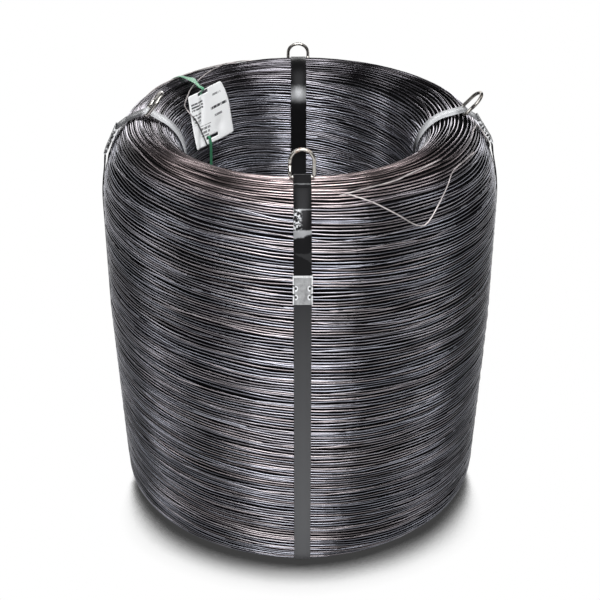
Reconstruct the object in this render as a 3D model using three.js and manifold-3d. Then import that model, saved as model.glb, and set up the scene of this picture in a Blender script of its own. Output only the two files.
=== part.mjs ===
// Coil of drawn steel wire on its end, tied by four steel straps through the bore.
//
// Units are millimetres and +Z is up. The origin is on the floor, on the axis of the bore.
// The front strap is on the -Y side. The winding is one continuous wire, so it is one turned
// solid with its bore, and bands of turns show as ridges on its ends and its walls. Each strap
// runs round the winding's section: up the outside, over the crest, down the bore and under.
// Its tail laps over its start inside a crimped seal, and it traps a lifting ring on the crest.

import * as THREE from "three";
import * as BufferGeometryUtils from "three/addons/utils/BufferGeometryUtils.js";
import Module from "manifold-3d";

// Winding
const COIL_HEIGHT = 821;
const OUTER_RADIUS = 395;
const FOOT_RADIUS = 381;
const BORE_RADIUS = 228;
const CREST_RADIUS = 308;
const WAIST_HEIGHT = 400;
const OUTER_SHOULDER_DROP = 181;
const INNER_SHOULDER_DROP = 90;
const OUTER_FOOT_ROUNDING = 22;
const INNER_FOOT_ROUNDING = 30;
const WIRE_DIAMETER = 2.5;
const WIRE_STEP = 9;
const END_RIDGE_PITCH = 30;
const WALL_RIDGE_PITCH = 56;
const RIDGE_DEPTH = 4;
const COIL_SEGMENTS = 72;

// Steel straps
const STRAP_WIDTH = 32;
const STRAP_THICKNESS = 0.9;
const STRAP_LEAD = 6;
const STRAP_RAMP = 16;
const SHORT_TAIL = 24;
const LONG_TAIL = 160;

// Crimped seals
const SEAL_LENGTH = 58;
const SEAL_WALL = 1.3;
const SEAL_SIDE_CLEARANCE = 0.4;
const NOTCH_SPACING = 18;
const NOTCH_WIDTH = 6;
const NOTCH_DEPTH = 4.5;

// Lifting rings
const RING_ROD = 7;
const RING_HEIGHT = 57;
const RING_SIDE_CLEARANCE = 2;
const RING_CORNER = 5;
const RING_JOINT_GAP = 0.4;
const RING_JOINT_HEIGHT = 22;
const RING_STEPS = 32;
const ROD_SIDES = 8;

// Tag and its plastic strap
const TAG_WIDTH = 123;
const TAG_HEIGHT = 114;
const TAG_THICKNESS = 0.6;
const TAG_LEAN = 9.5;
const TAG_AZIMUTH = 144;
const TAG_FOOT_DROP = 112;
const TAG_CORNER = 4;
const SLOT_LENGTH = 36;
const SLOT_WIDTH = 6;
const TOP_SLOT_INSET = 5;
const TOP_SLOT_SIDE = -15;
const BOTTOM_SLOT_INSET = 13.5;
const BOTTOM_SLOT_SIDE = -8;
const TAPE_WIDTH = 8;
const TAPE_THICKNESS = 0.8;
const TAPE_TURN = 5;
const TAPE_SWING = 8;
const TAPE_SWING_INNER_RADIUS = 236;
const TAPE_SWING_OUTER_RADIUS = 280;
const TAPE_CREST_OFFSET = 12;
const TAPE_BORE_DROP = 48;
const TAPE_RISE = 10;
const TAPE_ARCH = 26;

// Fits. A band is bent in straight steps, which cut inside the round it lies on by the sag.
const SEAT_GAP = 0.3;
const CHORD_SAG = 0.15;
const BAND_STEPS = 20;

const DEGREE = Math.PI / 180;
const BASE_HEIGHT = STRAP_THICKNESS + CHORD_SAG + SEAT_GAP;
const CREST_HEIGHT = BASE_HEIGHT + COIL_HEIGHT;
const OUTER_SPRING = CREST_HEIGHT - OUTER_SHOULDER_DROP;
const INNER_SPRING = CREST_HEIGHT - INNER_SHOULDER_DROP;

// The four ties. A ring sits off the crest line by a share of the way out to the outer wall, or
// of the way in to the bore where the share is negative, and it leans outwards by its lean. A
// seal's middle is below the crest by a share of the outer shoulder's drop.
const TIES = [
  { side: "front", azimuth: -90, ringShare: -0.06, lean: -8, sealShare: 0.96, tail: LONG_TAIL },
  { side: "right", azimuth: 0, ringShare: 0.115, lean: 43, sealShare: 0.205, tail: SHORT_TAIL },
  { side: "back", azimuth: 90, ringShare: 0.61, lean: -5, sealShare: 0.96, tail: SHORT_TAIL },
  { side: "left", azimuth: 180, ringShare: -0.11, lean: -38, sealShare: 0.3, tail: SHORT_TAIL },
];

const vec = (x, y) => new THREE.Vector2(x, y);

// ---------------------------------------------------------------- materials

const finish = (color, roughness, metalness) =>
  new THREE.MeshStandardMaterial({ color, roughness, metalness });

const WIRE_FINISH = finish(0x3d3a3d, 0.45, 0.9);
const STRAP_FINISH = finish(0x2b2c2f, 0.35, 0.8);
const SEAL_FINISH = finish(0xb4b6b9, 0.4, 0.9);
const RING_FINISH = finish(0x9a948c, 0.4, 0.9);
const TAG_FINISH = finish(0xeef0f2, 0.6, 0);
const TAPE_FINISH = finish(0x3f8f62, 0.5, 0);

// ---------------------------------------------------------------- solids

const wasm = await Module();
wasm.setup();

function toManifold(geometry) {
  const bare = geometry.clone();
  bare.deleteAttribute("normal");
  bare.deleteAttribute("uv");
  const merged = BufferGeometryUtils.mergeVertices(bare, 1e-4);
  return new wasm.Manifold(new wasm.Mesh({
    numProp: 3,
    vertProperties: new Float32Array(merged.attributes.position.array),
    triVerts: new Uint32Array(merged.index.array),
  }));
}

function fromManifold(solid) {
  const mesh = solid.getMesh();
  const geometry = new THREE.BufferGeometry();
  geometry.setAttribute("position", new THREE.BufferAttribute(mesh.vertProperties, 3));
  geometry.setIndex(new THREE.BufferAttribute(mesh.triVerts, 1));
  geometry.computeVertexNormals();
  return geometry;
}

function cutAll(geometry, cutters) {
  let solid = toManifold(geometry);
  for (const cutter of cutters) solid = solid.subtract(toManifold(cutter));
  return fromManifold(solid);
}

const group = new THREE.Group();

function addPiece(name, geometry, material, azimuth = 0) {
  const mesh = new THREE.Mesh(geometry, material);
  mesh.name = name;
  mesh.rotation.z = azimuth * DEGREE;
  group.add(mesh);
  return mesh;
}

// Stands an outline drawn in (radius, height) up in the XZ plane, centred on y = 0.
function standUp(shape, width) {
  const geometry = new THREE.ExtrudeGeometry(shape, { depth: width, bevelEnabled: false });
  geometry.rotateX(Math.PI / 2);
  geometry.translate(0, width / 2, 0);
  return geometry;
}

// ---------------------------------------------------------------- section of the winding

// The winding's section is convex. Every function here gives its outer edge in
// (radius, height), which the tops of the ridges touch.

function arcPoints(centre, radiusX, radiusY, from, to, steps) {
  const points = [];
  for (let i = 0; i <= steps; i += 1) {
    const angle = (from + ((to - from) * i) / steps) * DEGREE;
    points.push(vec(centre.x + radiusX * Math.cos(angle), centre.y + radiusY * Math.sin(angle)));
  }
  return points;
}

// Going up the outside, in over the crest, down the bore and out along the foot.
function topEdge(steps) {
  const outer = arcPoints(vec(CREST_RADIUS, OUTER_SPRING), OUTER_RADIUS - CREST_RADIUS,
    OUTER_SHOULDER_DROP, 0, 90, steps);
  const inner = arcPoints(vec(CREST_RADIUS, INNER_SPRING), CREST_RADIUS - BORE_RADIUS,
    INNER_SHOULDER_DROP, 90, 180, steps);
  return [...outer, ...inner.slice(1)];
}

function footEdge(steps) {
  const innerCentre = vec(BORE_RADIUS + INNER_FOOT_ROUNDING, BASE_HEIGHT + INNER_FOOT_ROUNDING);
  const outerCentre = vec(FOOT_RADIUS - OUTER_FOOT_ROUNDING, BASE_HEIGHT + OUTER_FOOT_ROUNDING);
  return [
    ...arcPoints(innerCentre, INNER_FOOT_ROUNDING, INNER_FOOT_ROUNDING, 180, 270, steps),
    ...arcPoints(outerCentre, OUTER_FOOT_ROUNDING, OUTER_FOOT_ROUNDING, 270, 360, steps),
  ];
}

function windingEdge(steps) {
  return [...topEdge(steps), ...footEdge(steps), vec(OUTER_RADIUS, WAIST_HEIGHT)];
}

// A point on the crest at a radius, and the direction that points out of the winding there.
function crestPoint(radius) {
  const outside = radius > CREST_RADIUS;
  const halfWidth = outside ? OUTER_RADIUS - CREST_RADIUS : CREST_RADIUS - BORE_RADIUS;
  const drop = outside ? OUTER_SHOULDER_DROP : INNER_SHOULDER_DROP;
  const across = (radius - CREST_RADIUS) / halfWidth;
  const rise = Math.sqrt(1 - across * across);
  return {
    point: vec(radius, CREST_HEIGHT - drop + drop * rise),
    normal: vec(across / halfWidth, rise / drop).normalize(),
  };
}

// A point on the outer wall or the outer shoulder at a height, and its outward direction.
function outerPoint(height) {
  const rise = Math.max(0, (height - OUTER_SPRING) / OUTER_SHOULDER_DROP);
  const across = Math.sqrt(1 - rise * rise);
  const halfWidth = OUTER_RADIUS - CREST_RADIUS;
  return {
    point: vec(CREST_RADIUS + halfWidth * across, height),
    normal: vec(across / halfWidth, rise / OUTER_SHOULDER_DROP).normalize(),
  };
}

// ---------------------------------------------------------------- polylines

// Direction pointing to the right of travel at each vertex, longer at a bend so that an
// offset keeps its distance from both edges.
function mitres(points, closed) {
  const count = points.length;
  return points.map((point, i) => {
    const before = i > 0 || closed ? points[(i - 1 + count) % count] : null;
    const after = i < count - 1 || closed ? points[(i + 1) % count] : null;
    const into = before ? point.clone().sub(before).normalize() : null;
    const out = after ? after.clone().sub(point).normalize() : null;
    const a = into ?? out;
    const b = out ?? into;
    const direction = a.clone().add(b).normalize();
    const stretch = 1 / Math.max(0.3, direction.dot(b));
    return vec(direction.y, -direction.x).multiplyScalar(stretch);
  });
}

function offsetLine(points, distance, closed = false) {
  const sides = mitres(points, closed);
  const at = typeof distance === "function" ? distance : () => distance;
  return points.map((point, i) => point.clone().addScaledVector(sides[i], at(sides[i])));
}

// The smallest convex loop round a set of points, going anticlockwise, as a taut band lies.
function tautLoop(points) {
  const sorted = [...points].sort((a, b) => a.x - b.x || a.y - b.y);
  const turn = (o, a, b) => (a.x - o.x) * (b.y - o.y) - (a.y - o.y) * (b.x - o.x);
  const half = (list) => {
    const hull = [];
    for (const point of list) {
      while (hull.length > 1 && turn(hull.at(-2), hull.at(-1), point) <= 1e-6) hull.pop();
      hull.push(point);
    }
    return hull.slice(0, -1);
  };
  return [...half(sorted), ...half([...sorted].reverse())];
}

// The stretch of a closed loop between two distances along it from its first point.
function walk(loop, from, to) {
  const points = [];
  const around = loopLength(loop);
  let travelled = -around;
  for (let i = 0; travelled < to; i += 1) {
    const a = loop[i % loop.length];
    const b = loop[(i + 1) % loop.length];
    const length = a.distanceTo(b);
    const enter = Math.max(from, travelled);
    const leave = Math.min(to, travelled + length);
    if (enter < leave - 1e-6) {
      if (points.length === 0) points.push(a.clone().lerp(b, (enter - travelled) / length));
      points.push(a.clone().lerp(b, (leave - travelled) / length));
    }
    travelled += length;
  }
  return points;
}

function loopLength(loop) {
  return loop.reduce((sum, point, i) => sum + point.distanceTo(loop[(i + 1) % loop.length]), 0);
}

// ---------------------------------------------------------------- winding

// Turns an edge into bands of turns: the ridge tops stay on the edge, the valleys sink in.
function ridged(edge, pitch) {
  const lengths = [0];
  for (let i = 1; i < edge.length; i += 1) {
    lengths.push(lengths[i - 1] + edge[i].distanceTo(edge[i - 1]));
  }
  const total = lengths.at(-1);
  const count = 2 * Math.round(total / pitch);
  const points = [];
  for (let i = 0; i <= count; i += 1) {
    const target = (total * i) / count;
    let k = 1;
    while (k < lengths.length - 1 && lengths[k] < target) k += 1;
    const share = (target - lengths[k - 1]) / (lengths[k] - lengths[k - 1]);
    points.push(edge[k - 1].clone().lerp(edge[k], share));
  }
  const sides = mitres(points, false);
  return points.map((point, i) =>
    (i % 2 === 1 ? point.clone().addScaledVector(sides[i], -RIDGE_DEPTH) : point));
}

// The ends and the walls meet on ridge tops, so each stretch starts where the last one stopped.
function makeWinding() {
  const top = topEdge(60);
  const foot = footEdge(30);
  const bore = [top.at(-1), foot[0]];
  const outside = [foot.at(-1), vec(OUTER_RADIUS, WAIST_HEIGHT), top[0]];
  const profile = [
    ...ridged(top, END_RIDGE_PITCH),
    ...ridged(bore, WALL_RIDGE_PITCH).slice(1),
    ...ridged(foot, END_RIDGE_PITCH).slice(1),
    ...ridged(outside, WALL_RIDGE_PITCH).slice(1, -1),
  ];
  profile.push(profile[0].clone());
  const geometry = new THREE.LatheGeometry(profile, COIL_SEGMENTS);
  geometry.rotateX(Math.PI / 2);
  return geometry;
}

// ---------------------------------------------------------------- straps, seals and rings

// How far a flat strap stands off a bore wall that curves away behind its edges.
function boreSag(width) {
  const facetAngle = Math.PI / COIL_SEGMENTS;
  return BORE_RADIUS * (1 - Math.cos(facetAngle)) + width ** 2 / (8 * BORE_RADIUS);
}

// Where a band of this width lies on the winding, with more room in the bore.
function seatedEdge(width) {
  const sag = boreSag(width);
  const gap = SEAT_GAP + CHORD_SAG;
  return offsetLine(windingEdge(BAND_STEPS), (side) => gap + sag * Math.max(0, -side.x), true);
}

function barCentre(ringRadius) {
  const { point, normal } = crestPoint(ringRadius);
  return point.clone().addScaledVector(normal, RING_ROD / 2 + SEAT_GAP);
}

const SEAL_CAVITY = 2 * STRAP_THICKNESS + 3 * SEAT_GAP;
const SEAL_THICKNESS = SEAL_CAVITY + 2 * SEAL_WALL;

// The seal's place: the point of the winding under its middle, out and along directions.
function sealFrame(sealHeight) {
  const { point, normal } = outerPoint(sealHeight);
  return { point, out: normal, along: vec(-normal.y, normal.x) };
}

// The inner face of the strap, taut round the winding, the ring's bar and the seal's back.
// It starts at the seal's lower end and goes up.
function strapLoop(ringRadius, sealHeight) {
  const bar = barCentre(ringRadius);
  const barReach = RING_ROD / 2 + SEAT_GAP + 2 * CHORD_SAG;
  const barEdge = arcPoints(bar, barReach, barReach, 0, 180, 12);
  const { point, out, along } = sealFrame(sealHeight);
  const floor = point.clone().addScaledVector(out, 2 * SEAT_GAP + SEAL_WALL);
  const lower = floor.clone().addScaledVector(along, -SEAL_LENGTH / 2);
  const upper = floor.clone().addScaledVector(along, SEAL_LENGTH / 2);
  const loop = tautLoop([...seatedEdge(STRAP_WIDTH), ...barEdge, lower, upper]);
  const first = loop.indexOf(lower);
  return [...loop.slice(first), ...loop.slice(0, first)];
}

// One strip, whose tail laps over its start through the seal and past it.
function strapPath(ringRadius, sealHeight, tail) {
  const loop = strapLoop(ringRadius, sealHeight);
  const around = loopLength(loop);
  const firstLayer = walk(loop, -STRAP_LEAD, around - STRAP_LEAD - STRAP_RAMP);
  const secondLayer = walk(loop, -STRAP_LEAD, SEAL_LENGTH + tail);
  return [...firstLayer, ...offsetLine(secondLayer, STRAP_THICKNESS + SEAT_GAP)];
}

function notchCutters(sealHeight) {
  const { point, out, along } = sealFrame(sealHeight);
  const cutters = [];
  for (const row of [-1, 1]) {
    for (const side of [-1, 1]) {
      const notch = new THREE.Shape([
        vec(NOTCH_DEPTH, 0),
        vec(-NOTCH_DEPTH, NOTCH_WIDTH),
        vec(-NOTCH_DEPTH, -NOTCH_WIDTH),
      ]);
      const cutter = new THREE.ExtrudeGeometry(notch, { depth: 4 * SEAL_THICKNESS, bevelEnabled: false });
      const edge = STRAP_WIDTH / 2 + SEAL_SIDE_CLEARANCE + SEAL_WALL;
      const middle = point.clone().addScaledVector(along, (row * NOTCH_SPACING) / 2);
      const frame = new THREE.Matrix4().makeBasis(
        new THREE.Vector3(0, -side, 0),
        new THREE.Vector3(along.x, 0, along.y).multiplyScalar(-side),
        new THREE.Vector3(out.x, 0, out.y),
      );
      cutter.translate(0, 0, -SEAL_THICKNESS);
      cutter.applyMatrix4(frame);
      cutter.translate(middle.x, side * edge, middle.y);
      cutters.push(cutter);
    }
  }
  return cutters;
}

function makeStrap(ringRadius, sealHeight, tail) {
  const path = strapPath(ringRadius, sealHeight, tail);
  const outer = offsetLine(path, STRAP_THICKNESS);
  const strip = standUp(new THREE.Shape([...path, ...outer.reverse()]), STRAP_WIDTH);
  return cutAll(strip, notchCutters(sealHeight));
}

// A box in the seal's frame, from one distance out of the winding to another.
function sealBox(sealHeight, width, from, to, length) {
  const { point, out, along } = sealFrame(sealHeight);
  const corner = (o, a) => point.clone().addScaledVector(out, o).addScaledVector(along, a);
  const outline = [
    corner(from, -length / 2),
    corner(to, -length / 2),
    corner(to, length / 2),
    corner(from, length / 2),
  ];
  return standUp(new THREE.Shape(outline), width);
}

function makeSeal(sealHeight) {
  const inside = STRAP_WIDTH + 2 * SEAL_SIDE_CLEARANCE;
  const sleeve = sealBox(sealHeight, inside + 2 * SEAL_WALL, SEAT_GAP,
    SEAT_GAP + SEAL_THICKNESS, SEAL_LENGTH);
  const cavity = sealBox(sealHeight, inside, SEAT_GAP + SEAL_WALL,
    SEAT_GAP + SEAL_WALL + SEAL_CAVITY, 2 * SEAL_LENGTH);
  return cutAll(sleeve, [cavity, ...notchCutters(sealHeight)]);
}

// One rod bent to a D, standing on its bar, with its ends meeting part of the way up a leg.
function ringCurve() {
  const half = STRAP_WIDTH / 2 + RING_SIDE_CLEARANCE + RING_ROD / 2;
  const top = RING_HEIGHT - RING_ROD - half;
  const point = (y, z) => new THREE.Vector3(0, y, z);
  const bow = (centreY, centreZ, radius, from, to) => {
    const steps = Math.max(3, Math.round(Math.abs(to - from) / 15));
    return arcPoints(vec(centreY, centreZ), radius, radius, from, to, steps)
      .map((p) => point(p.x, p.y));
  };
  const inner = half - RING_CORNER;
  const points = [
    point(-half, RING_JOINT_HEIGHT - RING_JOINT_GAP / 2),
    ...bow(-inner, RING_CORNER, RING_CORNER, 180, 270),
    ...bow(inner, RING_CORNER, RING_CORNER, 270, 360),
    ...bow(0, top, half, 0, 180),
    point(-half, RING_JOINT_HEIGHT + RING_JOINT_GAP / 2),
  ];
  const path = new THREE.CurvePath();
  for (let i = 1; i < points.length; i += 1) {
    path.add(new THREE.LineCurve3(points[i - 1], points[i]));
  }
  return path;
}

function rodSection(diameter) {
  const points = arcPoints(vec(0, 0), diameter / 2, diameter / 2, 0, 360, ROD_SIDES);
  return new THREE.Shape(points.slice(0, -1));
}

function makeRing(ringRadius, lean) {
  const geometry = new THREE.ExtrudeGeometry(rodSection(RING_ROD),
    { steps: RING_STEPS, extrudePath: ringCurve(), bevelEnabled: false });
  geometry.rotateY(lean * DEGREE);
  const bar = barCentre(ringRadius);
  geometry.translate(bar.x, 0, bar.y);
  return geometry;
}

// ---------------------------------------------------------------- tag and plastic strap

// The bore wall or the inner shoulder at a height, or the crest line above that.
function boreRadiusAt(height) {
  const rise = THREE.MathUtils.clamp((height - INNER_SPRING) / INNER_SHOULDER_DROP, 0, 1);
  return CREST_RADIUS - (CREST_RADIUS - BORE_RADIUS) * Math.sqrt(1 - rise * rise);
}

// The tag's own axes, up its face and out to its front, in the (radius, height) plane through
// its middle.
const TAG_UP = vec(Math.sin(TAG_LEAN * DEGREE), Math.cos(TAG_LEAN * DEGREE));
const TAG_FRONT = vec(-TAG_UP.y, TAG_UP.x);

const TAG_FOOT_HEIGHT = CREST_HEIGHT - TAG_FOOT_DROP;

// The tag leans outwards until its side edges meet the bore.
function tagFootRadius() {
  const back = TAG_THICKNESS / 2 + SEAT_GAP + BORE_RADIUS * (1 - Math.cos(Math.PI / COIL_SEGMENTS));
  let reach = Infinity;
  for (let up = 0; up <= TAG_HEIGHT; up += 1) {
    const wall = boreRadiusAt(TAG_FOOT_HEIGHT + up * TAG_UP.y) - back;
    reach = Math.min(reach, Math.sqrt(wall ** 2 - (TAG_WIDTH / 2) ** 2) - up * TAG_UP.x);
  }
  return reach;
}

const TAG_FOOT = vec(tagFootRadius(), TAG_FOOT_HEIGHT);

function onTag(up, front) {
  return TAG_FOOT.clone().addScaledVector(TAG_UP, up).addScaledVector(TAG_FRONT, front);
}

function slotHole(side, up) {
  const radius = SLOT_WIDTH / 2;
  const reach = SLOT_LENGTH / 2 - radius;
  const hole = new THREE.Path();
  hole.absarc(side + reach, up, radius, -Math.PI / 2, Math.PI / 2, false);
  hole.absarc(side - reach, up, radius, Math.PI / 2, (3 * Math.PI) / 2, false);
  hole.closePath();
  return hole;
}

const TOP_SLOT = TAG_HEIGHT - TOP_SLOT_INSET;
const BOTTOM_SLOT = BOTTOM_SLOT_INSET;

function makeTag() {
  const x = TAG_WIDTH / 2 - TAG_CORNER;
  const low = TAG_CORNER;
  const high = TAG_HEIGHT - TAG_CORNER;
  const face = new THREE.Shape();
  face.absarc(x, low, TAG_CORNER, -Math.PI / 2, 0, false);
  face.absarc(x, high, TAG_CORNER, 0, Math.PI / 2, false);
  face.absarc(-x, high, TAG_CORNER, Math.PI / 2, Math.PI, false);
  face.absarc(-x, low, TAG_CORNER, Math.PI, (3 * Math.PI) / 2, false);
  face.holes.push(slotHole(TOP_SLOT_SIDE, TOP_SLOT), slotHole(BOTTOM_SLOT_SIDE, BOTTOM_SLOT));
  const settings = { depth: TAG_THICKNESS, bevelEnabled: false, curveSegments: 4 };
  const geometry = new THREE.ExtrudeGeometry(face, settings);
  geometry.translate(0, 0, -TAG_THICKNESS / 2);
  geometry.applyMatrix4(new THREE.Matrix4().makeBasis(
    new THREE.Vector3(0, -1, 0),
    new THREE.Vector3(TAG_UP.x, 0, TAG_UP.y),
    new THREE.Vector3(TAG_FRONT.x, 0, TAG_FRONT.y),
  ));
  geometry.translate(TAG_FOOT.x, 0, TAG_FOOT.y);
  return geometry;
}

// The plastic strap stands in a plane turned round the bore from the tag's middle, so a place
// on the tag is farther off the axis there, and the strap's edges stand askew to the face.
const TAPE_SKEW = (TAPE_WIDTH / 2) * Math.tan(TAPE_TURN * DEGREE);

function onTape(up, front) {
  const place = onTag(up, front);
  return vec(place.x / Math.cos(TAPE_TURN * DEGREE), place.y);
}

// Threads the plastic strap down through the tag: over its top edge, in at the upper slot,
// behind the face and out at the lower slot.
function threading(fromCrest) {
  const inFront = TAG_THICKNESS / 2 + SEAT_GAP + TAPE_SKEW;
  const behind = -(inFront + TAPE_THICKNESS);
  const slant = SLOT_WIDTH / 3;
  const entry = onTape(TOP_SLOT + slant, inFront);
  const brow = onTape(TAG_HEIGHT + TAPE_RISE, TAPE_ARCH);
  const arch = new THREE.QuadraticBezierCurve(fromCrest, brow, entry).getPoints(12);
  return [
    ...arch.slice(1),
    onTape(TOP_SLOT - slant, behind),
    onTape(TAG_HEIGHT / 2, 2 * behind),
    onTape(BOTTOM_SLOT + slant, behind),
    onTape(BOTTOM_SLOT - slant, inFront),
    onTape(-slant, inFront),
  ];
}

// Swings the flat loop sideways over the crest and under the foot, so that its run up the
// outside stands to one side of its run down the bore.
function swing(geometry) {
  const places = geometry.attributes.position;
  const upright = new THREE.Vector3(0, 0, 1);
  const place = new THREE.Vector3();
  for (let i = 0; i < places.count; i += 1) {
    place.fromBufferAttribute(places, i);
    const across = THREE.MathUtils.inverseLerp(TAPE_SWING_INNER_RADIUS, TAPE_SWING_OUTER_RADIUS, place.x);
    place.applyAxisAngle(upright, -THREE.MathUtils.clamp(across, 0, 1) * TAPE_SWING * DEGREE);
    places.setXYZ(i, place.x, place.y, place.z);
  }
  return geometry;
}

function makeTape() {
  const loop = tautLoop(seatedEdge(TAPE_WIDTH));
  const leaves = CREST_RADIUS - TAPE_CREST_OFFSET;
  const lands = TAG_FOOT_HEIGHT - TAPE_BORE_DROP;
  const spans = (point) => point.x < leaves && point.y > lands;
  const first = loop.findIndex((point, i) => !spans(point) && spans(loop.at(i - 1)));
  const seated = [...loop.slice(first), ...loop.slice(0, first)].filter((point) => !spans(point));
  const path = [...seated, ...threading(seated.at(-1))];
  const shape = new THREE.Shape(offsetLine(path, TAPE_THICKNESS, true));
  shape.holes.push(new THREE.Path(path));
  return swing(standUp(shape, TAPE_WIDTH));
}

// ---------------------------------------------------------------- loose wire

function turned(radius, azimuth, height) {
  const angle = azimuth * DEGREE;
  return new THREE.Vector3(radius * Math.cos(angle), radius * Math.sin(angle), height);
}

function makeWire(points) {
  const curve = new THREE.CatmullRomCurve3(points, false, "centripetal");
  const steps = Math.round(curve.getLength() / WIRE_STEP);
  return new THREE.ExtrudeGeometry(rodSection(WIRE_DIAMETER),
    { steps, extrudePath: curve, bevelEnabled: false });
}

const WIRE_SEAT = WIRE_DIAMETER / 2 + SEAT_GAP;

// A slack turn that has sprung down over the front right shoulder: its azimuth, how far down
// the outer shoulder it lies as a share of the shoulder's drop, and how far it lifts off.
const FRONT_LOOP = [
  [-23, 0.145, 0], [-30.5, 0.135, 0.5], [-37, 0.14, 1], [-40, 0.16, 1.5], [-43.5, 0.225, 2], [-49, 0.34, 3],
  [-53.5, 0.45, 4], [-55.5, 0.485, 4], [-58, 0.465, 4], [-63.5, 0.32, 2], [-70, 0.18, 1], [-77, 0.09, 0],
];

function makeFrontLoop() {
  return makeWire(FRONT_LOOP.map(([azimuth, share, lift]) => {
    const { point, normal } = outerPoint(CREST_HEIGHT - share * OUTER_SHOULDER_DROP);
    const place = point.addScaledVector(normal, WIRE_SEAT + lift);
    return turned(place.x, azimuth, place.y);
  }));
}

// The inner end of the wire. On the winding: its azimuth, and how far in from the crest line
// it lies as a share of the inner shoulder. On the tag: shares of its width from the middle and
// of its height from the foot.
const INNER_END_ON_WINDING = [
  [119.5, -0.04], [123.5, 0.06], [127, 0.135], [131, 0.21], [137.5, 0.335], [144, 0.45], [148, 0.52],
  [152, 0.6], [155, 0.645], [157.5, 0.69],
];
const INNER_END_ON_TAG = [
  [-0.57, 0.74], [-0.53, 0.68], [-0.49, 0.62], [-0.44, 0.55], [-0.4, 0.475], [-0.365, 0.38], [-0.31, 0.2],
  [-0.28, 0.09], [-0.245, -0.02], [-0.225, -0.08],
];

function makeInnerEnd() {
  const onWinding = INNER_END_ON_WINDING.map(([azimuth, share]) => {
    const { point, normal } = crestPoint(CREST_RADIUS - share * (CREST_RADIUS - BORE_RADIUS));
    const place = point.addScaledVector(normal, WIRE_SEAT + SEAT_GAP);
    return turned(place.x, azimuth, place.y);
  });
  const across = turned(1, TAG_AZIMUTH - 90, 0);
  const onFace = INNER_END_ON_TAG.map(([side, up]) => {
    const place = onTag(up * TAG_HEIGHT, TAG_THICKNESS / 2 + WIRE_SEAT);
    return turned(place.x, TAG_AZIMUTH, place.y).addScaledVector(across, side * TAG_WIDTH);
  });
  return makeWire([...onWinding, ...onFace]);
}

// ---------------------------------------------------------------- assembly

addPiece("wire_coil", makeWinding(), WIRE_FINISH);

for (const { side, azimuth, ringShare, lean, sealShare, tail } of TIES) {
  const shoulderWidth = ringShare > 0 ? OUTER_RADIUS - CREST_RADIUS : CREST_RADIUS - BORE_RADIUS;
  const ringRadius = CREST_RADIUS + ringShare * shoulderWidth;
  const sealHeight = CREST_HEIGHT - sealShare * OUTER_SHOULDER_DROP;
  addPiece(`${side}_strap`, makeStrap(ringRadius, sealHeight, tail), STRAP_FINISH, azimuth);
  addPiece(`${side}_seal`, makeSeal(sealHeight), SEAL_FINISH, azimuth);
  addPiece(`${side}_lifting_ring`, makeRing(ringRadius, lean), RING_FINISH, azimuth);
}

addPiece("tag", makeTag(), TAG_FINISH, TAG_AZIMUTH);
addPiece("tag_strap", makeTape(), TAPE_FINISH, TAG_AZIMUTH + TAPE_TURN);
addPiece("loose_front_loop", makeFrontLoop(), WIRE_FINISH);
addPiece("inner_wire_end", makeInnerEnd(), WIRE_FINISH);

export default group;
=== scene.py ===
"""Dresses a strapped coil of drawn wire: the turns, straps, seals, lifting rings and tag."""

import math
import bmesh
import bpy
from bpy.props import FloatProperty, FloatVectorProperty, IntProperty, PointerProperty
from mathutils import Matrix, Vector


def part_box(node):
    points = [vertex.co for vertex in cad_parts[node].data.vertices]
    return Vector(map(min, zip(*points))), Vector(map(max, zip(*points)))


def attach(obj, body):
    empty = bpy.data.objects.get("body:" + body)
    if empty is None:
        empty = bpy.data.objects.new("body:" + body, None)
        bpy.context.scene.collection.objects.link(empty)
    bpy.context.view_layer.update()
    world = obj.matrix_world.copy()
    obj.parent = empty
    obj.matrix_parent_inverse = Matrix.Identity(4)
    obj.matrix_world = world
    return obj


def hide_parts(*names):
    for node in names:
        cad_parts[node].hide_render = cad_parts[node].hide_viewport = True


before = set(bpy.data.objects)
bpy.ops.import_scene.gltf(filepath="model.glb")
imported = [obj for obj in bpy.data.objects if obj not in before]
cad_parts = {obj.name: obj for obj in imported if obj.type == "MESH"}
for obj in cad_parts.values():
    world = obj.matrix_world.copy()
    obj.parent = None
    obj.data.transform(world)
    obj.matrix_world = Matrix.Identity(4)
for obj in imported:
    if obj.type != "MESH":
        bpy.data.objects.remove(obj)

bl_info = {
    "name": "Strapped Wire Coil",
    "version": (1, 0, 0),
    "blender": (4, 5, 0),
    "location": "3D View > Sidebar > Wire Coil",
    "description": "Winds a coil of drawn wire and ties it with steel straps, seals and rings",
    "category": "Add Mesh",
}

BODY = "root"
MM = 0.001
TAU = 2 * math.pi
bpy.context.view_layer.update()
COIL_LOW, COIL_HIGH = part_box("wire_coil")

# The four ties, as the solids have them: which side, the azimuth, the share of a shoulder's
# width that the ring sits off the crest line (out where positive, in where negative), how far it
# leans out, the share of the outer shoulder that the seal is down, and how far the strap's tail
# runs past the seal.
TIES = (
    ("front", -90, -0.06, -8, 0.96, 160 * MM),
    ("right", 0, 0.115, 43, 0.205, 24 * MM),
    ("back", 90, 0.61, -5, 0.96, 24 * MM),
    ("left", 180, -0.11, -38, 0.3, 24 * MM),
)

# How far a strap starts before its seal, and the length in which it climbs onto its own start.
STRAP_LEAD, STRAP_RAMP = 6 * MM, 16 * MM

# A seal's notches: how far they sit off its middle line, half of what lies between a pair along
# the strap, and how far the middle of a pair is off the seal's middle.
SEAL_NOTCHES = (12.4 * MM, 8.8 * MM, -3.4 * MM)

# A lifting ring: its room beside the strap, the rounding of its lower corners, and the height
# and the gap of the butt joint in its left leg.
RING_ROOM, RING_CORNER = 2 * MM, 5 * MM
RING_JOINT, RING_JOINT_GAP = 22 * MM, 0.4 * MM

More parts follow.
